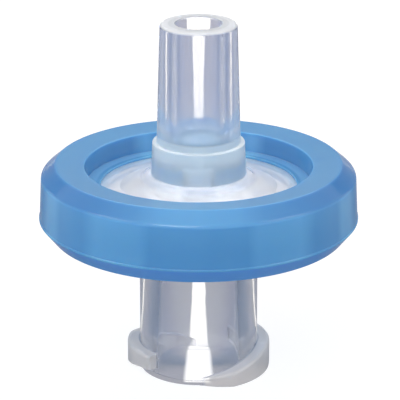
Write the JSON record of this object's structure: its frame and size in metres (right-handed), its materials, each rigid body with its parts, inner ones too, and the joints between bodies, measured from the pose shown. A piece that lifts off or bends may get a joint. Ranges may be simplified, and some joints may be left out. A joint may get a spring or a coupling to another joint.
{
  "type": "syringe filter",
  "caption": "Small disc filter for a syringe: clear housings with a luer lock inlet and a luer slip outlet, sealed round a white membrane by a translucent blue moulded ring.",
  "frame": {"origin": "centre of the inlet rim, at its lowest face", "axes": "+Z along the flow axis from the luer lock inlet to the luer slip outlet, -Y towards the side where the first lug begins"},
  "size_m": [0.0164, 0.0164, 0.0185],
  "materials": {
    "clear_plastic": "clear, smooth moulded polypropylene with a faint lilac haze",
    "membrane": "matt white, fine porous sheet",
    "blue_plastic": "translucent blue, smooth with a soft sheen"
  },
  "bodies": {
    "root": {"inlet_housing": "clear_plastic", "outlet_housing": "clear_plastic", "membrane": "membrane", "overmould_ring": "blue_plastic"}
  },
  "joints": []
}
